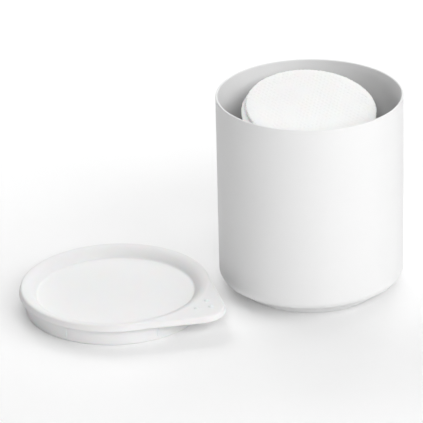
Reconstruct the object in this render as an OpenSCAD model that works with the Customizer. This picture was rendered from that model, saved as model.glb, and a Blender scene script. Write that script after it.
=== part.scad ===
// Cotton pad dispenser: a round steel cup on a plastic foot, filled with a leaning stack of
// cotton pads, and its plug-in lid lying beside it.
// Millimetres, +Z up, the viewer stands on the -Y side.
// The origin is the centre of the foot's underside, on the surface that the parts stand on.

/* [Cup] */
// Outer diameter of the cup
cup_d = 84; // [80:1:110]
// Height of the rim above the surface
cup_h = 93; // [60:1:140]
// Thickness of the coated sheet steel
cup_wall = 1.0; // [0.6:0.1:1.5]
// Outer radius of the corner between wall and floor
cup_corner = 4.2; // [2:0.1:8]

/* [Foot] */
// How far the foot stands back from the cup's wall
foot_inset = 9.2; // [8.5:0.1:16]
// Height of the foot
foot_h = 5.1; // [3.5:0.1:10]
// Thickness of the foot's floor, wall and bonding ring
foot_wall = 1.8; // [1:0.1:2.5]
// Radius of the foot's lower edge
foot_edge = 0.6; // [0.2:0.1:0.9]
// Outer radius of the ring inside the foot that is bonded under the cup
foot_ring = 16; // [8:0.5:22]

/* [Lid] */
// Gap between the lid's skirt and the inside of the cup
lid_clearance = 0.3; // [0.1:0.05:0.6]
// How far the flange stands out past the cup's wall
lid_overhang = 1.5; // [0.8:0.1:4]
// Depth of the skirt below the flange
lid_plug = 7.2; // [5:0.1:15]
// Height of the flange, from its underside to its crown
lid_flange = 3.1; // [2.6:0.1:5]
// Depth of the flat panel below the crown
lid_recess = 4.3; // [2:0.1:5]
// Width of the slope between the crown and the flat panel
lid_slope = 6.9; // [5:0.1:12]
// Thickness of the panel and the slope
lid_wall = 1.6; // [1:0.1:2]
// Thickness of the skirt
lid_skirt = 1.4; // [1:0.1:1.8]
// Radius at the foot of the slope
lid_fillet = 1.2; // [0.5:0.1:2]
// Radius of the crown's outer edge
lid_crown_edge = 1.0; // [0.6:0.1:1.2]
// Radius of the flange's lower edge
lid_lower_edge = 0.5; // [0.3:0.1:0.8]
// Number of small upright ribs on the skirt
lid_ribs = 6; // [2:1:12]
// How far a rib stands out from the skirt
lid_rib_out = 0.2; // [0.05:0.05:0.25]
// Direction of the first rib, counted from the pull tab, in degrees
lid_rib_turn = -88; // [-180:1:180]

/* [Pull tab] */
// How far the tab reaches past the flange
tab_reach = 13.8; // [8:0.1:22]
// Radius of the tab's tip in plan
tab_tip = 12.5; // [8:0.1:20]
// Step from the crown down to the tab's top
tab_drop = 0.05; // [0.03:0.01:0.3]
// Height of the tab's underside above the flange's underside
tab_lift = 0.2; // [0.1:0.05:0.4]
// How far the tab's root stands back from the flange's edge
tab_root = 0.3; // [0.2:0.05:0.4]
// Diameter of a grip bump
bump_d = 2.2; // [1.2:0.1:3]
// Height of a grip bump
bump_h = 0.6; // [0.2:0.1:0.9]
// Distance of the two inner bumps from the crown
bump_in = 3.7; // [2:0.1:4]
// Distance of the outer bump from the crown
bump_out = 8.2; // [6:0.1:8.5]
// Angle between the outer bump and each inner bump, in degrees
bump_spread = 5.5; // [4:0.1:9]
// Turn of the three bumps away from the tab's middle, in degrees
bump_turn = 2.5; // [-6:0.1:6]

/* [Where the lid lies] */
// Gap between the flange and the cup
lid_gap = 5.8; // [1:0.1:60]
// Direction from the cup to the lid, in degrees from +X
lid_bearing = 192.3; // [180:0.1:260]
// Direction in which the tab points, in degrees from +X
tab_bearing = -33.8; // [-60:0.1:-20]

/* [Cotton pads] */
// Diameter of a cotton pad
pad_d = 59; // [50:0.5:64]
// Thickness of a cotton pad
pad_t = 2.1; // [1.6:0.1:4]
// Thickness of the pressed edge of a pad
pad_edge = 1.1; // [0.6:0.1:1.5]
// Width of the shoulder between the edge and the flat of a pad
pad_shoulder = 2.4; // [1:0.1:5]
// Gap between two pads where they lie closest
pad_gap = 0.08; // [0.02:0.01:0.3]
// Height left free between the rim and the middle of the top pad
pad_free = 7; // [6:0.1:30]
// Tip of the top pad towards the viewer, in degrees
tip_front = 12.8; // [0:0.1:15]
// Tip of the top pad towards the right, in degrees
tip_right = 3.9; // [0:0.1:6]
// Shift of the top pad to the back
lean_back = 4; // [0:0.1:5]
// Shift of the top pad to the left
lean_left = 0.4; // [0:0.1:2]
// How far a pad lies out of the middle of the stack
pad_stagger = 1.1; // [0:0.1:2]

/* [Hidden] */
$fn = 96;
// Steps in an arc of an outline, and in an arc of the tab's edge
ARC = 10;
EDGE_ARC = 5;
// Turn from one pad's shift to the next, so that no two pads near each other line up
STAGGER_TURN = 137.5;
// Depth to which added shapes run into what carries them, and to which cuts run past a face
RUN = 0.5;

cup_r = cup_d / 2;
cup_in_r = cup_r - cup_wall;
floor_z = foot_h + cup_wall;

foot_r = cup_r - foot_inset;

skirt_r = cup_in_r - lid_clearance;
flange_r = cup_r + lid_overhang;
// The crown lies over the outer face of the cup's wall
crown_r = cup_r;
crown_z = lid_plug + lid_flange;
panel_r = crown_r - lid_slope;
panel_z = crown_z - lid_recess;
lid_away = cup_r + lid_gap + flange_r;
lid_at = lid_away * [cos(lid_bearing), sin(lid_bearing)];

// The slope is two arcs that meet in one tangent
slope_turn = 2 * atan(lid_recess / lid_slope);
slope_r = lid_slope / sin(slope_turn) - lid_fillet;

// Plan of the tab: its sides touch both the root circle and the round of the tip
tab_low_z = lid_plug + tab_lift;
tab_top_z = crown_z - tab_drop;
tab_root_r = flange_r - tab_root;
tip_at = flange_r + tab_reach - tab_tip;
tab_turn = acos((tab_root_r - tab_tip) / tip_at);

// The pads tip a little more from one to the next, which adds height over the whole stack
pad_r = pad_d / 2;
tip_all = norm([tip_front, tip_right]);
tip_room = pad_r * tip_all * PI / 180 + lean_back * sin(tip_front);
tip_cos = cos(tip_front) * cos(tip_right);
stack_room = (cup_h - pad_free - floor_z) * tip_cos - tip_room;
pad_n = 1 + floor((stack_room - pad_t) / (pad_t + pad_gap));
pad_pitch = (pad_t + pad_gap + pad_r * sin(tip_all / (pad_n - 1))) / tip_cos
    + lean_back / (pad_n - 1) * tan(tip_front);

// Two digits in a pad's name, so that the names sort from the bottom to the top
function pad_name(i) = str("pad_", i < 10 ? "0" : "", i);
PADS = [for (i = [1:pad_n]) pad_name(i)];

// Points of an arc about [x, z], from angle a to angle b
function arc(x, z, r, a, b, steps = ARC) =
    [for (i = [0:steps]) let (t = a + (b - a) * i / steps) [x + r * cos(t), z + r * sin(t)]];

// Angle of the normal of the line that touches two circles on their outer side
function touch(p, rp, q, rq) =
    atan2(q[1] - p[1], q[0] - p[0]) + acos((rp - rq) / norm(q - p));

// Deep drawn steel cup: floor, rounded corner, straight wall and a rounded rim
module cup() {
    rim = cup_wall / 2;
    corner = cup_corner - cup_wall;
    outline = concat(
        [[0, foot_h]],
        arc(cup_r - cup_corner, foot_h + cup_corner, cup_corner, -90, 0),
        arc(cup_r - rim, cup_h - rim, rim, 0, 180),
        arc(cup_in_r - corner, floor_z + corner, corner, 0, -90),
        [[0, floor_z]]
    );
    color("whitesmoke") rotate_extrude() polygon(outline);
}

// Moulded foot: a flat floor to stand on, with a wall and a ring that are bonded under the cup
module foot() {
    outline = concat(
        [[0, 0]],
        arc(foot_r - foot_edge, foot_edge, foot_edge, -90, 0),
        [
            [foot_r, foot_h],
            [foot_r - foot_wall, foot_h],
            [foot_r - foot_wall, foot_wall],
            [foot_ring, foot_wall],
            [foot_ring, foot_h],
            [foot_ring - foot_wall, foot_h],
            [foot_ring - foot_wall, foot_wall],
            [0, foot_wall]
        ]
    );
    color("gainsboro") rotate_extrude() polygon(outline);
}

// Sloping outer edge of the flange and the tab, from its underside at r up to its top
function edge_outline(r, low_z, top_z, steps = ARC) =
    let (
        top = [r - flange_r + crown_r, top_z - lid_crown_edge],
        low = [r - lid_lower_edge, low_z + lid_lower_edge],
        turn = touch(top, lid_crown_edge, low, lid_lower_edge)
    )
    concat(
        arc(low[0], low[1], lid_lower_edge, -90, turn, steps),
        arc(top[0], top[1], lid_crown_edge, turn, 90, steps)
    );

// Outline of half the lid's section, from the skirt up over the flange and back underneath
function lid_outline() =
    let (
        bend = 90 + slope_turn,
        under = slope_r - lid_wall,
        skirt_in = skirt_r - lid_skirt,
        skirt_edge = lid_skirt / 2
    )
    concat(
        arc(skirt_r - skirt_edge, skirt_edge, skirt_edge, -180, 0),
        [[skirt_r, lid_plug]],
        edge_outline(flange_r, lid_plug, crown_z),
        arc(crown_r, crown_z - slope_r, slope_r, 90, bend),
        arc(panel_r, panel_z + lid_fillet, lid_fillet, bend - 180, -90),
        [[0, panel_z], [0, panel_z - lid_wall]],
        arc(panel_r, panel_z + lid_fillet, lid_fillet + lid_wall, -90, bend - 180),
        [for (p = arc(crown_r, crown_z - slope_r, under, bend, 90)) if (p[0] < skirt_in) p],
        [[skirt_in, crown_z - lid_flange]]
    );

// Half a section of the tab that ends at r, closed at the inner radius
module tab_section(r, inner) {
    edge = edge_outline(r, tab_low_z, tab_top_z, EDGE_ARC);
    polygon(concat([[inner, tab_low_z]], edge, [[inner, tab_top_z]]));
}

// Tab: a round tip and two straight sides with the flange's own edge, cut away inside the crown
module tab() {
    difference() {
        hull() {
            translate([tip_at, 0, 0]) rotate_extrude($fn = 64) tab_section(tab_tip, 0);
            for (side = [-1, 1])
                rotate([90, 0, side * tab_turn])
                    linear_extrude(height = RUN, center = true) tab_section(tab_root_r, crown_r - RUN);
        }
        cylinder(r = crown_r, h = crown_z + RUN);
    }
}

// Grip bump, a shallow dome on the tab
module bump() {
    ball = (bump_d * bump_d / 4 + bump_h * bump_h) / (2 * bump_h);
    intersection() {
        translate([0, 0, bump_h - ball]) sphere(r = ball, $fn = 48);
        translate([0, 0, -RUN]) cylinder(r = bump_d, h = bump_h + 2 * RUN);
    }
}

// Moulded lid, one piece with its skirt, flange, recessed panel and pull tab
module lid() {
    color("white")
        translate([lid_at[0], lid_at[1], 0]) rotate([0, 0, tab_bearing]) {
            rotate_extrude() polygon(lid_outline());
            tab();
            for (b = [[bump_in, -bump_spread], [bump_out, 0], [bump_in, bump_spread]])
                rotate([0, 0, bump_turn + b[1]])
                    translate([crown_r + b[0], 0, tab_top_z]) bump();
            for (i = [1:lid_ribs])
                rotate([0, 0, lid_rib_turn + i * 360 / lid_ribs])
                    translate([skirt_r - RUN + lid_rib_out, 0, lid_skirt])
                        cylinder(r = RUN, h = lid_plug - lid_skirt, $fn = 32);
        }
}

// One cotton pad, flat with a pressed edge, its underside at z = 0
module pad_disc() {
    mid = pad_t / 2;
    half = pad_edge / 2;
    shoulder_r = pad_r - half - pad_shoulder;
    top = [for (p = arc(0, 0, 1, 90, 0)) [shoulder_r + pad_shoulder * p[0], half + (mid - half) * p[1]]];
    rim = arc(pad_r - half, 0, half, 90, 0);
    upper = concat(top, rim);
    count = len(upper);
    lower = [for (i = [1:count - 1]) let (p = upper[count - 1 - i]) [p[0], -p[1]]];
    translate([0, 0, mid]) rotate_extrude() polygon(concat([[0, mid]], upper, lower, [[0, -mid]]));
}

// Pad number i of the stack: it leans, tips and is shifted a little more than the one below it
module pad(i) {
    share = (i - 1) / (pad_n - 1);
    color("snow")
        translate([-lean_left * share, lean_back * share, floor_z + pad_gap + (i - 1) * pad_pitch])
            rotate([tip_front * share, tip_right * share, 0])
                rotate([0, 0, STAGGER_TURN * (i - pad_n)])
                    translate([pad_stagger, 0, 0]) pad_disc();
}

cup();
foot();
lid();
for (i = [1:pad_n]) pad(i);
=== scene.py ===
# %% [markdown]
# # Cotton pad dispenser
# This lesson dresses a small bathroom set: a white powder coated steel cup on an inset foot, a
# leaning stack of round cotton pads in it, and its plug-in lid, which lies on the table beside it.
# The solids were packed before, at their real size and place. They load here as a fixed frame, and
# each piece that we make takes its size and its place from them, so nothing is fitted by eye.

# %% Load the fixed frame
import bmesh
import bpy
import math
import numpy as np
from mathutils import Matrix, Vector


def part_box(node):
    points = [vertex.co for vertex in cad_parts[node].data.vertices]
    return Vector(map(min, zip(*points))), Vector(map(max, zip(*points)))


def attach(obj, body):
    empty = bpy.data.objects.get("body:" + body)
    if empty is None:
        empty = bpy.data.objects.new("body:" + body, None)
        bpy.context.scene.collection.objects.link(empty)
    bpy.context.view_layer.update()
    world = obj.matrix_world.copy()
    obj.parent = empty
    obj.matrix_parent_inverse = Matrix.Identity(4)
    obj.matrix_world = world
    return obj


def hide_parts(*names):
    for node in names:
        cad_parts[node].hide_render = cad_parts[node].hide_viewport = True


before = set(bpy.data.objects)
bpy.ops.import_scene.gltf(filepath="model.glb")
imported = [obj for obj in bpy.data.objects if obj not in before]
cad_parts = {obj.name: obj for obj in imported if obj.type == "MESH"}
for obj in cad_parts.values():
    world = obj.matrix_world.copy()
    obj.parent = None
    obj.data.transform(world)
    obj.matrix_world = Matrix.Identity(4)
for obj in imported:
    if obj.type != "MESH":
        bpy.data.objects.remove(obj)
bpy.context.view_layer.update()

BODY = "root"
MM = 0.001
PADS = sorted(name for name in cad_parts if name.startswith("pad_"))

# %% [markdown]
# ## Sizes
# The box of each solid gives most sizes in metres. What a box can't tell, such as the radius of an
# edge, is a named value in millimetres, as on a maker's drawing. Outlines are written in
# millimetres too, as half a section: the distance from the axis and the height.

# %% Read the sizes of the cup, the foot and the lid
cup_low, cup_high = (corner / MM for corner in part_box("cup"))
foot_low, foot_high = (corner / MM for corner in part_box("foot"))
lid_low, lid_high = (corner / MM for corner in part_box("lid"))
CUP_R, CUP_H, FOOT_H, FOOT_R = cup_high.x, cup_high.z, cup_low.z, foot_high.x
CUP_WALL = 1.0
CUP_CORNER = 4.2
FOOT_WALL = 1.8
FOOT_EDGE = 0.6
FOOT_RING = 16.0

# The lid's reach past the cup, its walls, the gap round its skirt and the steps of its section
LID_OVERHANG = 1.5
LID_WALL = 1.6
SKIRT_WALL = 1.4
SKIRT_GAP = 0.3
FLANGE_HIGH = 3.1
SLOPE_RUN = 6.9
PANEL_DEEP = 4.3
FLANGE_R = CUP_R + LID_OVERHANG
SKIRT_R = CUP_R - CUP_WALL - SKIRT_GAP
CROWN_R = CUP_R
CROWN_Z = lid_high.z
FLANGE_Z = CROWN_Z - FLANGE_HIGH
PANEL_R = CROWN_R - SLOPE_RUN
PANEL_Z = CROWN_Z - PANEL_DEEP
LID_AT = Vector((lid_low.x + FLANGE_R, lid_high.y - FLANGE_R, 0))
TAB_TURN = math.radians(-33.8)
print("cup", round(CUP_R, 2), round(CUP_H, 2), "lid at", [round(v, 2) for v in LID_AT])

# %% Helpers for outlines
# How close to the ends of a long stretch its support points lie
SUPPORT = 0.25


def arc(x, z, radius, start, end, steps=8):
    """Points of an arc about (x, z), with its angles in degrees."""
    turns = np.radians(np.linspace(start, end, steps + 1))
    return [(x + radius * math.cos(t), z + radius * math.sin(t)) for t in turns]


def with_supports(outline, near=SUPPORT):
    """Adds a point close to both ends of each long stretch, so that its smooth shading stays flat."""
    made = [outline[0]]
    for start, end in zip(outline, outline[1:]):
        start, end = np.array(start), np.array(end)
        length = np.linalg.norm(end - start)
        if length > 4 * near:
            made += [tuple(start + (end - start) * share) for share in (near / length, 1 - near / length)]
        made.append(tuple(end))
    return made


def mesh_object(name, points, faces=(), edges=()):
    """A mesh object at the origin, from points in metres."""
    mesh = bpy.data.meshes.new(name)
    mesh.from_pydata([tuple(p) for p in points], edges, faces)
    mesh.update()
    made = bpy.data.objects.new(name, mesh)
    bpy.context.scene.collection.objects.link(made)
    return made


def told(piece):
    """Prints what a piece has become."""
    triangles = sum(len(p.vertices) - 2 for p in piece.data.polygons)
    size = [round(v / MM, 1) for v in piece.dimensions]
    print(piece.name, "has", triangles, "triangles and measures", size, "mm")


# %% [markdown]
# ## Wiring node trees from code
# Materials and Geometry Nodes are both graphs of nodes. A small helper keeps the code short: it
# makes a node, sets its values and joins its inputs in one call. Where an input is given as another
# node's output, the two are linked, and where it is a plain number, that number is set on the socket.

# %% A helper that makes and joins nodes
class Wiring:
    def __init__(self, tree):
        self.tree = tree

    def node(self, kind, inputs=None, **settings):
        made = self.tree.nodes.new(kind)
        for key, value in settings.items():
            setattr(made, key, value)
        for key, value in (inputs or {}).items():
            self.feed(made.inputs[key], value)
        return made

    def feed(self, socket, value):
        if isinstance(value, bpy.types.NodeSocket):
            self.tree.links.new(value, socket)
        else:
            socket.default_value = value

    def math(self, operation, *values, clamp=False):
        made = self.tree.nodes.new("ShaderNodeMath")
        made.operation = operation
        made.use_clamp = clamp
        for socket, value in zip(made.inputs, values):
            self.feed(socket, value)
        return made.outputs[0]

    def smooth(self, value, low, high, to_low=0.0, to_high=1.0):
        made = self.node("ShaderNodeMapRange", interpolation_type="SMOOTHSTEP")
        for socket, given in zip(made.inputs, (value, low, high, to_low, to_high)):
            self.feed(socket, given)
        return made.outputs[0]

    def reach(self, x, y):
        """Distance of the point (x, y) from the axis."""
        return self.math("SQRT", self.math(
            "ADD",
            self.math("MULTIPLY", x, x),
            self.math("MULTIPLY", y, y),
        ))

    def noise(self, place, seed, grain, detail):
        """Noise of one seed, with grains of this size in mm."""
        made = self.node(
            "ShaderNodeTexNoise",
            {"Vector": place, "W": seed, "Scale": 1 / (grain * MM), "Detail": detail},
            noise_dimensions="4D",
        )
        return made.outputs["Fac"]


def shape_tree(name, inputs):
    """A Geometry Nodes tree with named inputs: {name: (socket type, default)}."""
    tree = bpy.data.node_groups.new(name, "GeometryNodeTree")
    tree.interface.new_socket("Geometry", in_out="INPUT", socket_type="NodeSocketGeometry")
    for title, (kind, default) in inputs.items():
        socket = tree.interface.new_socket(title, in_out="INPUT", socket_type=kind)
        if default is not None:
            socket.default_value = default
    tree.interface.new_socket("Geometry", in_out="OUTPUT", socket_type="NodeSocketGeometry")
    return tree, Wiring(tree), tree.nodes.new("NodeGroupInput")


def end_tree(wiring, given, geometry):
    """Ends a tree in Realize Instances and Set Material."""
    real = wiring.node("GeometryNodeRealizeInstances", {"Geometry": geometry})
    dressed = wiring.node(
        "GeometryNodeSetMaterial",
        {"Geometry": real.outputs[0], "Material": given.outputs["Material"]},
    )
    wiring.node("NodeGroupOutput", {"Geometry": dressed.outputs[0]})


def apply(piece, modifier):
    """Turns what a modifier makes of a piece into the piece's own plain mesh."""
    shape = piece.evaluated_get(bpy.context.evaluated_depsgraph_get())
    made = bpy.data.meshes.new_from_object(shape)
    piece.modifiers.remove(modifier)
    piece.data = made


def grow(piece, tree, values):
    """Runs a tree on a piece and keeps the result as the piece's mesh."""
    modifier = piece.modifiers.new(tree.name, "NODES")
    modifier.node_group = tree
    sockets = {i.name: i.identifier for i in tree.interface.items_tree if i.in_out == "INPUT"}
    for title, value in values.items():
        modifier[sockets[title]] = value
    apply(piece, modifier)
    piece.data.name = piece.name


# %% [markdown]
# ## Finishes
# There are four finishes, and all of them are nearly white, so the light has to find their grain.
# Each one is a Principled shader whose constants are set on its own sockets. Noise in Object
# coordinates varies the colour and the roughness a little and feeds a bump, at the real scale of
# that grain: the fine orange peel of a powder coat, the satin skin of a moulded lid, the eroded
# skin of the foot, and the loose fibres of cotton.

# %% A base for the finishes
# Size of the broad noise in mm, how far the roughness wanders, and the middle range of the noise
BROAD_GRAIN = 14
ROUGH_SPREAD = 0.05
NOISE_LOW, NOISE_HIGH = 0.3, 0.7


def finish(name, roughness, grain, bump, tone, spread, **constants):
    """A pale material: grain and bump are the size and depth of its grain in mm, tone its colour."""
    material = bpy.data.materials.new(name)
    material.use_nodes = True
    tree = material.node_tree
    tree.nodes.clear()
    wiring = Wiring(tree)
    place = wiring.node("ShaderNodeTexCoord").outputs["Object"]
    fine = wiring.node(
        "ShaderNodeTexNoise",
        {"Vector": place, "Scale": 1 / (grain * MM), "Detail": 3.0, "Roughness": 0.55},
    )
    broad = wiring.node(
        "ShaderNodeTexNoise",
        {"Vector": place, "Scale": 1 / (BROAD_GRAIN * MM), "Detail": 2.0, "Roughness": 0.5},
    )
    shade = wiring.node("ShaderNodeValToRGB", {"Fac": broad.outputs["Fac"]})
    low, high = shade.color_ramp.elements
    low.position, high.position = NOISE_LOW, NOISE_HIGH
    low.color = (*(c - spread for c in tone), 1)
    high.color = (*(c + spread for c in tone), 1)
    rough = wiring.smooth(
        fine.outputs["Fac"], NOISE_LOW, NOISE_HIGH, roughness - ROUGH_SPREAD, roughness + ROUGH_SPREAD
    )
    raised = wiring.node(
        "ShaderNodeBump",
        {"Height": fine.outputs["Fac"], "Distance": bump * MM, "Strength": 1.0},
    )
    shader = wiring.node(
        "ShaderNodeBsdfPrincipled",
        {"Base Color": shade.outputs["Color"], "Roughness": rough, "Normal": raised.outputs["Normal"]},
    )
    for key, value in constants.items():
        shader.inputs[key.replace("_", " ")].default_value = value
    wiring.node("ShaderNodeOutputMaterial", {"Surface": shader.outputs["BSDF"]})
    return material


# %% Make the four finishes
powder_coat = finish(
    "powder_coat", roughness=0.52, grain=0.55, bump=0.010, tone=(0.85, 0.85, 0.85), spread=0.004,
    IOR=1.45, Specular_IOR_Level=0.4,
)
# Painted light: the foot's tone is set lighter than the cup's, to stand in for the light that the cup's
# overhang keeps off the foot.
foot_skin = finish(
    "foot_skin", roughness=0.6, grain=0.3, bump=0.012, tone=(0.93, 0.93, 0.93), spread=0.006,
    IOR=1.46,
)
satin_moulding = finish(
    "satin_moulding", roughness=0.62, grain=0.4, bump=0.006, tone=(0.85, 0.85, 0.85), spread=0.004,
    IOR=1.45, Specular_IOR_Level=0.35, Subsurface_Weight=0.15, Subsurface_Scale=0.0015,
)
cotton_wool = finish(
    "cotton_wool", roughness=0.92, grain=0.35, bump=0.09, tone=(0.845, 0.845, 0.84), spread=0.008,
    IOR=1.4, Specular_IOR_Level=0.15, Sheen_Weight=0.25, Sheen_Roughness=0.6,
    Subsurface_Weight=0.2, Subsurface_Scale=0.002,
)
print("finishes:", [m.name for m in (powder_coat, foot_skin, satin_moulding, cotton_wool)])

# %% [markdown]
# ## The cup and its foot
# The cup is deep drawn from one sheet and then coated, so it is round and its wall is even. Half a
# section says all about it, and a lathe turns that section into the piece. The lathe is a Geometry
# Nodes tree: a grid takes one column of points for each step of the turn, reads the outline point
# with its own row number, and turns it about the axis. Merging the doubles closes seam and poles.

# %% The lathe tree
def lathe_tree():
    tree, wiring, given = shape_tree("lathe", {
        "Steps": ("NodeSocketInt", 192),
        "Material": ("NodeSocketMaterial", None),
    })
    outline = given.outputs["Geometry"]
    count = wiring.node("GeometryNodeAttributeDomainSize", {"Geometry": outline}).outputs["Point Count"]
    steps = given.outputs["Steps"]
    grid = wiring.node("GeometryNodeMeshGrid", {
        "Vertices X": wiring.math("ADD", steps, 1.0),
        "Vertices Y": count,
    })
    index = wiring.node("GeometryNodeInputIndex").outputs[0]
    column = wiring.math("FLOOR", wiring.math("DIVIDE", wiring.math("ADD", index, 0.5), count))
    row = wiring.math("SUBTRACT", index, wiring.math("MULTIPLY", column, count))
    read = wiring.node("GeometryNodeSampleIndex", data_type="FLOAT_VECTOR")
    wiring.feed(read.inputs["Geometry"], outline)
    wiring.feed(read.inputs["Value"], wiring.node("GeometryNodeInputPosition").outputs[0])
    wiring.feed(read.inputs["Index"], row)
    angle = wiring.math("MULTIPLY", wiring.math("DIVIDE", column, steps), 2 * math.pi)
    turned = wiring.node(
        "ShaderNodeVectorRotate",
        {"Vector": read.outputs[0], "Angle": angle},
        rotation_type="Z_AXIS",
    )
    shaped = wiring.node(
        "GeometryNodeSetPosition",
        {"Geometry": grid.outputs["Mesh"], "Position": turned.outputs[0]},
    )
    closed = wiring.node(
        "GeometryNodeMergeByDistance",
        {"Geometry": shaped.outputs[0], "Distance": 0.001 * MM},
    )
    smooth = wiring.node("GeometryNodeSetShadeSmooth", {"Geometry": closed.outputs[0]})
    end_tree(wiring, given, smooth.outputs[0])
    return tree


LATHE = lathe_tree()


def face_out(piece):
    """Turns the faces of a closed piece outwards."""
    points = np.array([v.co for v in piece.data.vertices])
    volume = 0.0
    for face in piece.data.polygons:
        a, *rest = (points[i] for i in face.vertices)
        for b, c in zip(rest, rest[1:]):
            volume += np.dot(a, np.cross(b, c)) / 6
    if volume < 0:
        piece.data.flip_normals()
    print(piece.name, "holds", round(abs(volume) / MM**3), "mm3")
    return piece


def turned_piece(name, outline, material, steps=192):
    """A piece turned on the lathe from half a section in mm."""
    points = [(r * MM, 0, z * MM) for r, z in with_supports(outline)]
    piece = mesh_object(name, points, edges=[(i, i + 1) for i in range(len(points) - 1)])
    grow(piece, LATHE, {"Steps": steps, "Material": material})
    return face_out(piece)


# %% Turn the cup
rim_r = CUP_WALL / 2
inner_corner = CUP_CORNER - CUP_WALL
cup_outline = (
    [(0, FOOT_H)]
    + arc(CUP_R - CUP_CORNER, FOOT_H + CUP_CORNER, CUP_CORNER, -90, 0, steps=14)
    + arc(CUP_R - rim_r, CUP_H - rim_r, rim_r, 0, 180, steps=12)
    + arc(CUP_R - CUP_WALL - inner_corner, FOOT_H + CUP_WALL + inner_corner, inner_corner, 0, -90)
    + [(0, FOOT_H + CUP_WALL)]
)
cup_shell = turned_piece("cup_shell", cup_outline, powder_coat, steps=256)
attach(cup_shell, BODY)
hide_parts("cup")
told(cup_shell)

# %% Turn the foot
foot_outline = (
    [(0, 0)]
    + arc(FOOT_R - FOOT_EDGE, FOOT_EDGE, FOOT_EDGE, -90, 0)
    + [
        (FOOT_R, FOOT_H),
        (FOOT_R - FOOT_WALL, FOOT_H),
        (FOOT_R - FOOT_WALL, FOOT_WALL),
        (FOOT_RING, FOOT_WALL),
        (FOOT_RING, FOOT_H),
        (FOOT_RING - FOOT_WALL, FOOT_H),
        (FOOT_RING - FOOT_WALL, FOOT_WALL),
        (0, FOOT_WALL),
    ]
)
foot_shell = turned_piece("foot_shell", foot_outline, foot_skin)
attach(foot_shell, BODY)
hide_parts("foot")
told(foot_shell)

# %% [markdown]
# ## The lid
# The lid is one moulding: a flat recessed panel, a soft slope up to a crown, a flange whose edge
# slopes outwards, a skirt that plugs into the cup, and a tab to pull it off by. It can't come off
# the lathe, because the tab breaks its round. So the section is worked out anew for each direction.
# The same sloping edge runs round the flange and round the tab. For each point of that edge, it is
# enough to know how far it stands in from the rim, because both rims can be moved inwards exactly:
# a circle gets smaller, and a straight side comes closer to the axis.

# %% Plan of the tab
# Reach past the flange, radius of the tip, and how far inside the flange's rim the sides start
TAB_REACH = 13.8
TIP_R = 12.5
TAB_ROOT_IN = 0.3
# How far its underside lies above the flange's, and its face below the crown
TAB_LIFT = 0.2
TAB_DROP = 0.05
# Radii of the lower and the upper edge, the same for flange and tab
LOWER_EDGE = 0.5
CROWN_EDGE = 1.0
SLOPE_WIDE = FLANGE_R - CROWN_R
tab_root = FLANGE_R - TAB_ROOT_IN
tip_at = FLANGE_R + TAB_REACH - TIP_R
side_turn = math.acos((tab_root - TIP_R) / tip_at)
tip_turn = math.atan2(TIP_R * math.sin(side_turn), tip_at + TIP_R * math.cos(side_turn))


def tab_rim(turn, inset):
    """Distance from the lid's axis to the tab's rim, moved inwards by inset."""
    turn = abs(turn)
    tip = TIP_R - inset
    tip_end = np.arctan2(tip * math.sin(side_turn), tip_at + tip * math.cos(side_turn))
    room = np.maximum(tip**2 - (tip_at * math.sin(turn)) ** 2, 0)
    tip_rim = tip_at * math.cos(turn) + np.sqrt(room)
    side_rim = (tab_root - inset) / math.cos(max(side_turn - turn, 0))
    return np.where(turn <= tip_end, tip_rim, side_rim)


def rim(turn, inset):
    """Distance to the rim of the whole lid: the flange's or the tab's, with a fillet between them."""
    flange, tab = FLANGE_R - inset, tab_rim(turn, inset)
    near = np.clip(1 - np.abs(flange - tab) / TAB_ROOT_IN, 0, 1)
    return np.maximum(flange, tab) + near**2 * TAB_ROOT_IN / 4


# %% The section for one direction
# Widths of the bands in which the flange's section turns into the tab's, on top and underneath
TOP_BAND = 0.6
DROP_BAND = 0.4
UNDER_STEP = 0.4
STEP_GAP = 0.06
CROWN_STEPS = 10
# Radius where the slope meets the panel
FILLET = 1.2
slope_turn = 2 * math.atan((CROWN_Z - PANEL_Z) / (CROWN_R - PANEL_R))
slope_r = (CROWN_R - PANEL_R) / math.sin(slope_turn) - FILLET
bend = 90 + math.degrees(slope_turn)
skirt_in = SKIRT_R - SKIRT_WALL


def touch(p, p_radius, q, q_radius):
    """Angle of the normal of the line that touches two circles on their outer side."""
    away = math.hypot(q[0] - p[0], q[1] - p[1])
    return math.degrees(math.atan2(q[1] - p[1], q[0] - p[0]) + math.acos((p_radius - q_radius) / away))


def eased(value):
    """Zero below 0, one above 1 and a soft step between them."""
    held = np.clip(value, 0, 1)
    return held * held * (3 - 2 * held)


def outer_outline(turn):
    """Points from the flange's underside round its edge, or the tab's, to just inside the crown."""
    tab = float(eased((tab_rim(turn, 0.0) - FLANGE_R) / TOP_BAND))
    low_z = FLANGE_Z + TAB_LIFT * tab
    low = (-LOWER_EDGE, low_z + LOWER_EDGE)
    top = (-SLOPE_WIDE, CROWN_Z - TAB_DROP * tab - CROWN_EDGE)
    face = touch(top, CROWN_EDGE, low, LOWER_EDGE)
    edge = np.array(with_supports(
        arc(*low, LOWER_EDGE, -90, face, steps=10) + arc(*top, CROWN_EDGE, face, 90, steps=14)
    ))
    edge[:, 0] = rim(turn, -edge[:, 0])
    step_at = FLANGE_R - LOWER_EDGE - STEP_GAP + tab * UNDER_STEP
    under = [
        (SKIRT_R + SUPPORT, FLANGE_Z),
        (FLANGE_R - LOWER_EDGE - 2 * STEP_GAP, FLANGE_Z),
        (step_at, low_z),
        ((step_at + edge[0, 0]) / 2, low_z),
    ]
    inwards = 1 - (1 - np.linspace(0, 1, CROWN_STEPS + 1)[1:]) ** 2
    flat_r = edge[-1, 0] + (CROWN_R - TOP_BAND - edge[-1, 0]) * inwards
    inside = np.maximum(CROWN_R - flat_r, 0)
    fall = slope_r - np.sqrt(slope_r**2 - inside**2)
    flat_z = CROWN_Z - fall - TAB_DROP * tab * eased((flat_r - CROWN_R) / DROP_BAND)
    return under + [tuple(p) for p in edge] + list(zip(flat_r, flat_z))


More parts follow.
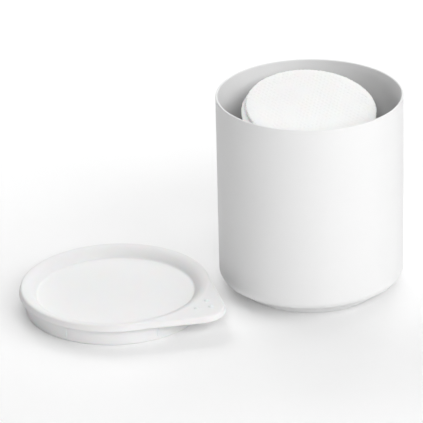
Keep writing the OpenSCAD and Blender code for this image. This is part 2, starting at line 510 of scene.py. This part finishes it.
# %% The rest of the section, the same all round
under_slope = [
    p for p in arc(CROWN_R, CROWN_Z - slope_r, slope_r - LID_WALL, bend, 90, steps=16) if p[0] < skirt_in
]
band_turn = 90 + math.degrees(math.asin(TOP_BAND / slope_r))
top_outline = (
    arc(CROWN_R, CROWN_Z - slope_r, slope_r, band_turn, bend, steps=20)
    + arc(PANEL_R, PANEL_Z + FILLET, FILLET, bend - 180, -90, steps=8)
    + [(PANEL_R * share, PANEL_Z) for share in (0.9, 0.6, 0.3, 0.0)]
)
under_outline = (
    [(0, PANEL_Z - LID_WALL), (PANEL_R * 0.5, PANEL_Z - LID_WALL)]
    + arc(PANEL_R, PANEL_Z + FILLET, FILLET + LID_WALL, -90, bend - 180, steps=8)
    + under_slope
    + [(skirt_in, FLANGE_Z)]
    + arc(SKIRT_R - SKIRT_WALL / 2, SKIRT_WALL / 2, SKIRT_WALL / 2, -180, 0, steps=12)
    + [(SKIRT_R, FLANGE_Z - SUPPORT), (SKIRT_R, FLANGE_Z)]
)
top_outline = with_supports(top_outline)[1:]
under_outline = with_supports(under_outline)
print("section points:", len(top_outline), "on top and", len(under_outline), "underneath")

# %% Build the lid
# Steps round the tip, along each side and round the rest, and how far the side's steps go on
TIP_STEPS = 120
SIDE_STEPS = 70
REST_STEPS = 220
PAST_SIDE = math.radians(4)
tip_looks = np.linspace(-side_turn, side_turn, TIP_STEPS + 1)
tip_turns = np.arctan2(TIP_R * np.sin(tip_looks), tip_at + TIP_R * np.cos(tip_looks))
past_tab = side_turn + PAST_SIDE
side_turns = np.linspace(tip_turn, past_tab, SIDE_STEPS + 1)[1:]
rest_turns = np.linspace(past_tab, 2 * math.pi - past_tab, REST_STEPS + 1)[1:-1]
turns = np.concatenate((-side_turns[::-1], tip_turns, side_turns, rest_turns))


def lid_mesh():
    """The lid about its own axis, with the tab along +X, as points and faces."""
    columns = []
    for turn in turns:
        wrapped = (turn + math.pi) % (2 * math.pi) - math.pi
        section = under_outline + outer_outline(wrapped) + top_outline
        columns.append([(r * math.cos(turn), r * math.sin(turn), z) for r, z in section])
    rows = len(columns[0])
    points = np.array(columns).reshape(-1, 3) * MM
    faces = []
    for i in range(len(turns)):
        j = (i + 1) % len(turns)
        for k in range(rows - 1):
            quad = [i * rows + k, i * rows + k + 1, j * rows + k + 1, j * rows + k]
            if k == 0:
                quad = quad[:3]
            elif k == rows - 2:
                quad = [quad[0], quad[1], quad[3]]
            faces.append(quad)
    return points, faces


def merged(piece, distance=0.002):
    """Joins points that lie closer to each other than this distance in mm."""
    work = bmesh.new()
    work.from_mesh(piece.data)
    bmesh.ops.remove_doubles(work, verts=work.verts, dist=distance * MM)
    bmesh.ops.recalc_face_normals(work, faces=work.faces)
    work.to_mesh(piece.data)
    work.free()
    return piece


lid_moulding = merged(mesh_object("lid_moulding", *lid_mesh()))
for face in lid_moulding.data.polygons:
    face.use_smooth = True
face_out(lid_moulding)
told(lid_moulding)

# %% [markdown]
# ### Grip bumps and skirt ribs
# Three low bumps on the tab give a wet finger some hold, and small upright ribs on the skirt make
# the lid grip the cup. Both repeat round the lid's axis, so one tree places them: points on an arc,
# with a dome or a rib on each. A dome is a sphere whose upper half is pressed into a bell that
# flares out flat at its foot, so it grows out of the tab without a seam.

# %% The tree for bumps and ribs
# Radius and height of a bump, places of the bumps past the crown in mm and sideways in degrees
BUMP_R, BUMP_HIGH = 1.1, 0.6
BUMP_NEAR, BUMP_FAR, BUMP_SPREAD = 3.7, 8.2, 5.5
BUMPS = [(CROWN_R + BUMP_NEAR, -BUMP_SPREAD), (CROWN_R + BUMP_FAR, 0.0), (CROWN_R + BUMP_NEAR, BUMP_SPREAD)]
BUMP_TURN = 2.5
# How steep the bell is, how far its foot flares out, and how deep its root and its foot lie
BELL_POWER, BELL_FLARE = 1.7, 1.3
BUMP_ROOT, BUMP_SUNK = 0.5, 0.01
# Number and radius of the ribs, depth of their middle in the skirt, and where they start and end
RIB_COUNT, RIB_R, RIB_IN = 6, 0.5, 0.2
RIB_LOW, RIB_INTO_FLANGE = 1.4, 0.2
FIRST_RIB = -88


def dome_and_rib_tree():
    tree, wiring, given = shape_tree("grips", {
        "Bump radius": ("NodeSocketFloat", BUMP_R * MM),
        "Bump height": ("NodeSocketFloat", BUMP_HIGH * MM),
        "Rib count": ("NodeSocketInt", RIB_COUNT),
        "Rib radius": ("NodeSocketFloat", RIB_R * MM),
        "Rib circle": ("NodeSocketFloat", (SKIRT_R - RIB_IN) * MM),
        "Rib low": ("NodeSocketFloat", RIB_LOW * MM),
        "Rib high": ("NodeSocketFloat", (FLANGE_Z + RIB_INTO_FLANGE) * MM),
        "First rib": ("NodeSocketFloat", math.radians(FIRST_RIB)),
        "Material": ("NodeSocketMaterial", None),
    })
    place = wiring.node("GeometryNodeInputPosition").outputs[0]
    xyz = wiring.node("ShaderNodeSeparateXYZ", {"Vector": place})
    ball = wiring.node("GeometryNodeMeshUVSphere", {"Segments": 40, "Rings": 28, "Radius": 1.0})
    out = wiring.reach(xyz.outputs["X"], xyz.outputs["Y"])
    inside = wiring.math("SUBTRACT", 1.0, wiring.math("MULTIPLY", out, out))
    bell = wiring.math("POWER", inside, BELL_POWER)
    above = wiring.math("GREATER_THAN", xyz.outputs["Z"], 0.0)
    rise = wiring.math("MULTIPLY", wiring.math("MULTIPLY", bell, given.outputs["Bump height"]), above)
    root = wiring.math(
        "MULTIPLY",
        wiring.math("MULTIPLY", xyz.outputs["Z"], BUMP_ROOT * MM),
        wiring.math("SUBTRACT", 1.0, above),
    )
    wide = wiring.math("MULTIPLY", given.outputs["Bump radius"], BELL_FLARE)
    pressed = wiring.node("ShaderNodeCombineXYZ", {
        "X": wiring.math("MULTIPLY", xyz.outputs["X"], wide),
        "Y": wiring.math("MULTIPLY", xyz.outputs["Y"], wide),
        "Z": wiring.math("SUBTRACT", wiring.math("ADD", rise, root), BUMP_SUNK * MM),
    })
    dome = wiring.node("GeometryNodeSetPosition",
                       {"Geometry": ball.outputs["Mesh"], "Position": pressed.outputs[0]})
    domes = wiring.node("GeometryNodeInstanceOnPoints",
                        {"Points": given.outputs["Geometry"], "Instance": dome.outputs[0]})

    low = wiring.node("ShaderNodeCombineXYZ", {"Z": given.outputs["Rib low"]}).outputs[0]
    high = wiring.node("ShaderNodeCombineXYZ", {"Z": given.outputs["Rib high"]}).outputs[0]
    line = wiring.node("GeometryNodeCurvePrimitiveLine", {"Start": low, "End": high})
    fine = wiring.node("GeometryNodeResampleCurve", {"Curve": line.outputs[0], "Count": 25})
    share = wiring.node("GeometryNodeSplineParameter").outputs["Factor"]
    middle = wiring.math("ABSOLUTE", wiring.math("SUBTRACT", wiring.math("MULTIPLY", share, 2.0), 1.0))
    taper = wiring.math("SQRT", wiring.math("SUBTRACT", 1.0001, wiring.math("POWER", middle, 8.0)))
    ring = wiring.node("GeometryNodeCurvePrimitiveCircle", {"Resolution": 20, "Radius": 1.0})
    swept = wiring.node("GeometryNodeCurveToMesh", {
        "Curve": fine.outputs[0],
        "Profile Curve": ring.outputs["Curve"],
        "Scale": wiring.math("MULTIPLY", taper, given.outputs["Rib radius"]),
        "Fill Caps": True,
    })
    circle = wiring.node("GeometryNodeMeshCircle",
                         {"Vertices": given.outputs["Rib count"], "Radius": given.outputs["Rib circle"]})
    turned = wiring.node("GeometryNodeTransform", {
        "Geometry": circle.outputs[0],
        "Rotation": wiring.node("ShaderNodeCombineXYZ", {"Z": given.outputs["First rib"]}).outputs[0],
    })
    ribs = wiring.node("GeometryNodeInstanceOnPoints",
                       {"Points": turned.outputs[0], "Instance": swept.outputs[0]})
    both = wiring.node("GeometryNodeJoinGeometry")
    wiring.feed(both.inputs[0], domes.outputs[0])
    wiring.feed(both.inputs[0], ribs.outputs[0])
    real = wiring.node("GeometryNodeRealizeInstances", {"Geometry": both.outputs[0]})
    smooth = wiring.node("GeometryNodeSetShadeSmooth", {"Geometry": real.outputs[0]})
    end_tree(wiring, given, smooth.outputs[0])
    return tree


# %% Make them and join them to the moulding
bump_points = []
for away, turn in BUMPS:
    at = math.radians(turn + BUMP_TURN)
    bump_points.append((away * math.cos(at) * MM, away * math.sin(at) * MM, (CROWN_Z - TAB_DROP) * MM))
grips = mesh_object("grips", bump_points)
grow(grips, dome_and_rib_tree(), {"Material": satin_moulding})
told(grips)
lid_moulding.data.materials.append(satin_moulding)
for chosen in bpy.context.selected_objects:
    chosen.select_set(False)
grips.select_set(True)
lid_moulding.select_set(True)
bpy.context.view_layer.objects.active = lid_moulding
bpy.ops.object.join()
lid_moulding.data.transform(Matrix.Translation(LID_AT * MM) @ Matrix.Rotation(TAB_TURN, 4, "Z"))
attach(lid_moulding, BODY)
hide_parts("lid")
told(lid_moulding)

# %% [markdown]
# ## The cotton pads
# A pad is a disc of cotton wool, cut and crimped at its rim and pressed with a fine waffle on both
# faces. It is soft, so a blank is blown up as cloth first: a thin closed disc whose rim is pinned,
# filled with air pressure, so that the faces swell and pull in at the rim by themselves. Simulated
# cloth behaves best at the size of a cushion, so the blank is made twenty times too large and
# is scaled down again. No point may swell further than a small cap, so the pad keeps its thickness.

# %% A round blank without a pole
PAD_R = 29.5
PAD_T = 2.1
PAD_EDGE = 1.1
CLOTH_SCALE = 20
# Where the grid counts as the rim, two powers that keep its cells even, and the widths in mm of
# the swell and of the rounded edge
ON_RIM = 0.9999
SPREAD, BULGE = 1.12, 0.97
SWELL_BAND = 3.2
ROUND_BAND = 0.5


def blank(cells, thick, edge):
    """Points and faces of a closed disc, from two square grids that are bent into circles."""
    side = np.linspace(-1, 1, cells + 1)
    a, b = np.meshgrid(side, side, indexing="ij")
    round_out = np.maximum(np.abs(a), np.abs(b))
    by_a = np.abs(a) >= np.abs(b)
    turn = np.where(
        by_a,
        np.pi / 4 * b / np.where(a == 0, 1, a),
        np.pi / 2 - np.pi / 4 * a / np.where(b == 0, 1, b),
    )
    turn = np.where(by_a & (a < 0) | ~by_a & (b < 0), turn + np.pi, turn)
    away = PAD_R * np.sin(np.pi / 2 * round_out**SPREAD) ** BULGE
    share = np.clip((PAD_R - away) / SWELL_BAND, 0, 1)
    swell = share * (2 - share)
    round_edge = (edge / 2) * np.sqrt(np.clip((PAD_R - away) / ROUND_BAND, 0, 1))
    high = np.where(round_out > ON_RIM, 0, round_edge + (thick - edge) / 2 * swell)
    x, y = away * np.cos(turn), away * np.sin(turn)
    top = np.column_stack((x.ravel(), y.ravel(), high.ravel()))
    low = top * (1, 1, -1)
    n = cells + 1
    number = np.arange(n * n).reshape(n, n)
    inside = (round_out < ON_RIM).ravel()
    under = np.where(inside, np.cumsum(inside) - 1 + n * n, np.arange(n * n)).reshape(n, n)
    quads = []
    for grid, flip in ((number, False), (under, True)):
        square = np.stack((grid[:-1, :-1], grid[1:, :-1], grid[1:, 1:], grid[:-1, 1:]), -1).reshape(-1, 4)
        quads.append(square[:, ::-1] if flip else square)
    return np.vstack((top, low[inside])), np.vstack(quads)


# %% Blow the blank up as cloth
# Most that a point may move, width of the pinned rim and how much a blank is thinner, in mm
SWELL_CAP = 0.22
PINNED_BAND = 0.9
TRIM = 0.1
FRAMES = 20


def swollen(cells):
    """The blank after its simulation, in mm."""
    start, quads = blank(cells, PAD_T - 2 * SWELL_CAP, PAD_EDGE - TRIM)
    bag = mesh_object("bag", start * MM * CLOTH_SCALE, quads.tolist())
    pinned = bag.vertex_groups.new(name="rim")
    away = np.hypot(start[:, 0], start[:, 1])
    pinned.add([int(i) for i in np.flatnonzero(away > PAD_R - PINNED_BAND)], 1.0, "REPLACE")
    cloth = bag.modifiers.new("cloth", "CLOTH")
    cloth.settings.quality = 4
    cloth.settings.mass = 0.3
    cloth.settings.tension_stiffness = 12
    cloth.settings.compression_stiffness = 6
    cloth.settings.bending_stiffness = 0.4
    cloth.settings.use_pressure = True
    cloth.settings.uniform_pressure_force = 4.0
    cloth.settings.vertex_group_mass = "rim"
    cloth.settings.effector_weights.gravity = 0
    cloth.point_cache.frame_end = FRAMES
    for number in range(1, FRAMES + 1):
        bpy.context.scene.frame_set(number)
    shape = bag.evaluated_get(bpy.context.evaluated_depsgraph_get())
    end = np.array([v.co for v in shape.data.vertices]) / MM / CLOTH_SCALE
    bpy.data.objects.remove(bag)
    bpy.context.scene.frame_set(1)
    moved = end - start
    far = np.linalg.norm(moved, axis=1)
    kept = SWELL_CAP * np.tanh(far / SWELL_CAP)
    print("cloth moved by", round(float(far.max()), 2), "mm at most, kept", round(float(kept.max()), 2))
    return start + moved * (kept / np.maximum(far, 1e-9))[:, None], quads


# %% [markdown]
# The waffle, the crimped rim, the fluff of the fibres and a few soft creases go on after the
# simulation, as another tree. It works in the flat pad's own place: staggered rows of small oval
# dints press the face in, more in some places than in others, and a comb of waves nibbles the rim.
# Noise with a number of its own for each pad lifts the fibres and draws the creases near the rim.

# %% The tree that presses a pad
# Depth of a dint in mm, its radius as a share of the pitch, and where its slope starts and ends
DINT_DEEP, DINT_R = 0.1, 0.36
DINT_FROM, DINT_TO = 0.15, 1.25
# Distances from the rim in mm between which the waffle fades out and crimps and creases set in
WAFFLE_END, WAFFLE_FADE = 1.6, 3.4
CRIMP_DEEP, LIGHT_CRIMP = 0.16, 0.05
CRIMP_END, CRIMP_FADE = 0.4, 1.8
CREASE_END, CREASE_FADE = 4, 14
# Width of a crease in the noise, sizes of fibres, dents and folds in mm, and how ragged the rim is
CREASE_WIDE = 0.035
FIBRE, DENT, FOLD = 0.9, 9, 4
RAGGED = 0.9
SEED_STEP = 3.7


def press_tree():
    tree, wiring, given = shape_tree("press", {
        "Pitch across": ("NodeSocketFloat", 2.3 * MM),
        "Pitch along": ("NodeSocketFloat", 1.7 * MM),
        "Depth": ("NodeSocketFloat", DINT_DEEP * MM),
        "Crimps": ("NodeSocketFloat", 104.0),
        "Crimp depth": ("NodeSocketFloat", CRIMP_DEEP * MM),
        "Fluff": ("NodeSocketFloat", 0.09 * MM),
        "Pad number": ("NodeSocketFloat", 0.0),
        "Material": ("NodeSocketMaterial", None),
    })
    take = given.outputs
    place = wiring.node("GeometryNodeInputPosition").outputs[0]
    xyz = wiring.node("ShaderNodeSeparateXYZ", {"Vector": place})
    x, y, z = (xyz.outputs[k] for k in "XYZ")
    away = wiring.reach(x, y)
    row = wiring.math("FLOOR", wiring.math("DIVIDE", y, take["Pitch along"]))
    half = wiring.math("MULTIPLY", wiring.math("FLOORED_MODULO", row, 2.0), 0.5)
    across = wiring.math("ADD", wiring.math("DIVIDE", x, take["Pitch across"]), half)
    u = wiring.math("SUBTRACT", wiring.math("FRACT", across), 0.5)
    v = wiring.math("SUBTRACT", wiring.math("FRACT", wiring.math("DIVIDE", y, take["Pitch along"])), 0.5)
    off = wiring.reach(wiring.math("DIVIDE", u, DINT_R), wiring.math("DIVIDE", v, DINT_R))
    dint = wiring.smooth(off, DINT_FROM, DINT_TO, 1.0, 0.0)
    inner = wiring.smooth(away, (PAD_R - WAFFLE_FADE) * MM, (PAD_R - WAFFLE_END) * MM, 1.0, 0.0)
    side = wiring.math("SIGN", z)
    seed = wiring.math("MULTIPLY", take["Pad number"], SEED_STEP)
    fine = wiring.noise(place, seed, FIBRE, 2.0)
    broad = wiring.noise(place, seed, DENT, 1.0)
    fluff = wiring.math("MULTIPLY", wiring.math("SUBTRACT", fine, 0.5), take["Fluff"])
    sag = wiring.math(
        "MULTIPLY",
        wiring.math("SUBTRACT", broad, 0.6),
        wiring.math("MULTIPLY", take["Fluff"], 1.5),
    )
    worn = wiring.math("MULTIPLY", inner, wiring.smooth(broad, 0.35, 0.6, 0.3, 1.4))
    press = wiring.math("MULTIPLY", wiring.math("MULTIPLY", dint, worn), take["Depth"])
    mid = wiring.math("SUBTRACT", wiring.noise(place, seed, FOLD, 1.0), 0.5)
    fold = wiring.smooth(wiring.math("ABSOLUTE", mid), 0.0, CREASE_WIDE, 1.0, 0.0)
    outer = wiring.smooth(away, (PAD_R - CREASE_FADE) * MM, (PAD_R - CREASE_END) * MM)
    crease = wiring.math("MULTIPLY", wiring.math("MULTIPLY", fold, outer), take["Fluff"])
    lift = wiring.math("SUBTRACT", wiring.math("ADD", fluff, sag), wiring.math("ADD", press, crease))
    rise = wiring.math("MULTIPLY", lift, side)
    angle = wiring.math("ARCTAN2", y, x)
    comb = wiring.math("COSINE", wiring.math("MULTIPLY", angle, take["Crimps"]))
    band = wiring.smooth(away, (PAD_R - CRIMP_FADE) * MM, (PAD_R - CRIMP_END) * MM)
    pull = wiring.math("MULTIPLY", wiring.math("MULTIPLY", comb, band), take["Crimp depth"])
    torn = wiring.math("MULTIPLY", wiring.math("SUBTRACT", fine, 0.55), band)
    ragged = wiring.math("MULTIPLY", torn, RAGGED * MM)
    inward = wiring.math(
        "DIVIDE",
        wiring.math("ADD", pull, ragged),
        wiring.math("MAXIMUM", away, 0.001 * MM),
    )
    offset = wiring.node("ShaderNodeCombineXYZ", {
        "X": wiring.math("MULTIPLY", x, inward),
        "Y": wiring.math("MULTIPLY", y, inward),
        "Z": rise,
    })
    shaped = wiring.node(
        "GeometryNodeSetPosition",
        {"Geometry": take["Geometry"], "Offset": offset.outputs[0]},
    )
    smooth = wiring.node("GeometryNodeSetShadeSmooth", {"Geometry": shaped.outputs[0]})
    end_tree(wiring, given, smooth.outputs[0])
    return tree


PRESS = press_tree()

# %% Make the blanks: a rich one for the pads that show, a light one for those under them
RICH_CELLS, LIGHT_CELLS = 96, 30
rich_points, rich_quads = swollen(RICH_CELLS)
light_points, light_quads = blank(LIGHT_CELLS, PAD_T - TRIM, PAD_EDGE)
print("rich blank", len(rich_quads), "quads, light blank", len(light_quads))
# Lean of the top pad to the front and to the right, and the turn from one pad to the next
TIP_FRONT, TIP_RIGHT = math.radians(12.8), math.radians(3.9)
PAD_TURN = math.radians(137.5)
RICH_PADS = 4


def lay_pad(name, number):
    """Makes one pad and lays it where its solid lies."""
    share = (number - 1) / (len(PADS) - 1)
    rich = number > len(PADS) - RICH_PADS
    points, quads = (rich_points, rich_quads) if rich else (light_points, light_quads)
    pad = mesh_object("cotton_" + name, points * MM, quads.tolist())
    if number == len(PADS):
        finer = pad.modifiers.new("finer", "SUBSURF")
        finer.levels = finer.render_levels = 1
        apply(pad, finer)
    grow(pad, PRESS, {
        "Material": cotton_wool,
        "Pad number": float(number),
        "Depth": (DINT_DEEP if rich else 0.0) * MM,
        "Crimp depth": (CRIMP_DEEP if rich else LIGHT_CRIMP) * MM,
    })
    low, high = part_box(name)
    tip = Matrix.Rotation(TIP_RIGHT * share, 4, "Y") @ Matrix.Rotation(TIP_FRONT * share, 4, "X")
    turn = Matrix.Rotation(PAD_TURN * number, 4, "Z")
    pad.data.transform(Matrix.Translation((low + high) / 2) @ tip @ turn)
    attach(pad, BODY)
    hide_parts(name)
    return pad


pads = [lay_pad(name, number) for number, name in enumerate(PADS, 1)]
told(pads[-1])
told(pads[0])

# %% [markdown]
# ## The stage, the lights and the camera
# The set stands on a white table under soft light. Three softboxes close behind the set make the
# table there shine white, and one hangs overhead. The shape of the cup comes from the three others:
# in front, in front at the right, and at the right. The room itself is almost dark. The camera is
# far off with a long lens, as in a product photograph, so the two ends of the set look almost the
# same size.

# %% Floor
# Half the width of the table and its height, a hair under the foot, in metres
TABLE_REACH = 4
TABLE_Z = -0.00002
corners = [(x * TABLE_REACH, y * TABLE_REACH, TABLE_Z) for x, y in ((-1, -1), (1, -1), (1, 1), (-1, 1))]
floor = mesh_object("table_top", corners, [(0, 1, 2, 3)])
table_white = finish(
    "table_white", roughness=0.7, grain=1.5, bump=0.02, tone=(0.975, 0.975, 0.975), spread=0.002,
)
floor.data.materials.append(table_white)

# %% Lights
LOOK_AT = Vector((-30 * MM, -10 * MM, 40 * MM))
# Azimuth and elevation in degrees, distance and width in metres, and power in watts
SOFTBOXES = {
    "top": (180, 88, 1.6, 1.2, 4.6),
    "back": (180, 40, 0.9, 0.6, 1.75),
    "back_left": (-145, 40, 0.9, 0.6, 2.5),
    "back_right": (145, 40, 0.9, 0.6, 1.6),
    "right_front": (38, 36, 1.6, 0.8, 8.8),
    "right": (80, 30, 1.6, 0.8, 5.6),
    "front": (0, 30, 1.8, 0.8, 11.2),
}
ROOM_LIGHT = 0.01


def softbox(name, azimuth, elevation, distance, width, power):
    """A square lamp. Azimuth 0 is the viewer's side and 90 the viewer's right, and lengths are in metres."""
    around, up = math.radians(azimuth), math.radians(elevation)
    away = Vector((math.sin(around) * math.cos(up), -math.cos(around) * math.cos(up), math.sin(up)))
    lamp = bpy.data.lights.new(name, "AREA")
    lamp.size = width
    lamp.energy = power
    made = bpy.data.objects.new(name, lamp)
    made.location = LOOK_AT + away * distance
    made.rotation_mode = "QUATERNION"
    made.rotation_quaternion = away.to_track_quat("Z", "Y")
    bpy.context.scene.collection.objects.link(made)


for lamp_name, values in SOFTBOXES.items():
    softbox(lamp_name, *values)
room = bpy.data.worlds.new("room")
room.use_nodes = True
glow = room.node_tree.nodes["Background"].inputs
glow["Color"].default_value = (1, 1, 1, 1)
glow["Strength"].default_value = ROOM_LIGHT
bpy.context.scene.world = room
bpy.context.scene.view_settings.view_transform = "Standard"
print("lights:", list(SOFTBOXES))

# %% Camera
# Width of the sensor in mm, width of the picture and focal length in its pixels, then the place
SENSOR = 36.0
PICTURE = 423
FOCAL = 3220.74
CAMERA_AT = Vector((-44.946, -1328.087, 644.599)) * MM
DOWN = math.radians(24.607)
ROLL = math.radians(-1.407)
lens = bpy.data.cameras.new("camera")
lens.sensor_width = SENSOR
lens.lens = FOCAL / PICTURE * SENSOR
lens.clip_start, lens.clip_end = 0.1, 50.0
camera = bpy.data.objects.new("camera", lens)
right = Vector((1, 0, 0))
up = Vector((0, math.sin(DOWN), math.cos(DOWN)))
turned_right = right * math.cos(ROLL) + up * math.sin(ROLL)
turned_up = up * math.cos(ROLL) - right * math.sin(ROLL)
back = turned_right.cross(turned_up)
turned = Matrix((turned_right, turned_up, back)).transposed().to_4x4()
camera.matrix_world = Matrix.Translation(CAMERA_AT) @ turned
bpy.context.scene.collection.objects.link(camera)
bpy.context.scene.camera = camera
print("camera lens", round(lens.lens, 1), "mm")
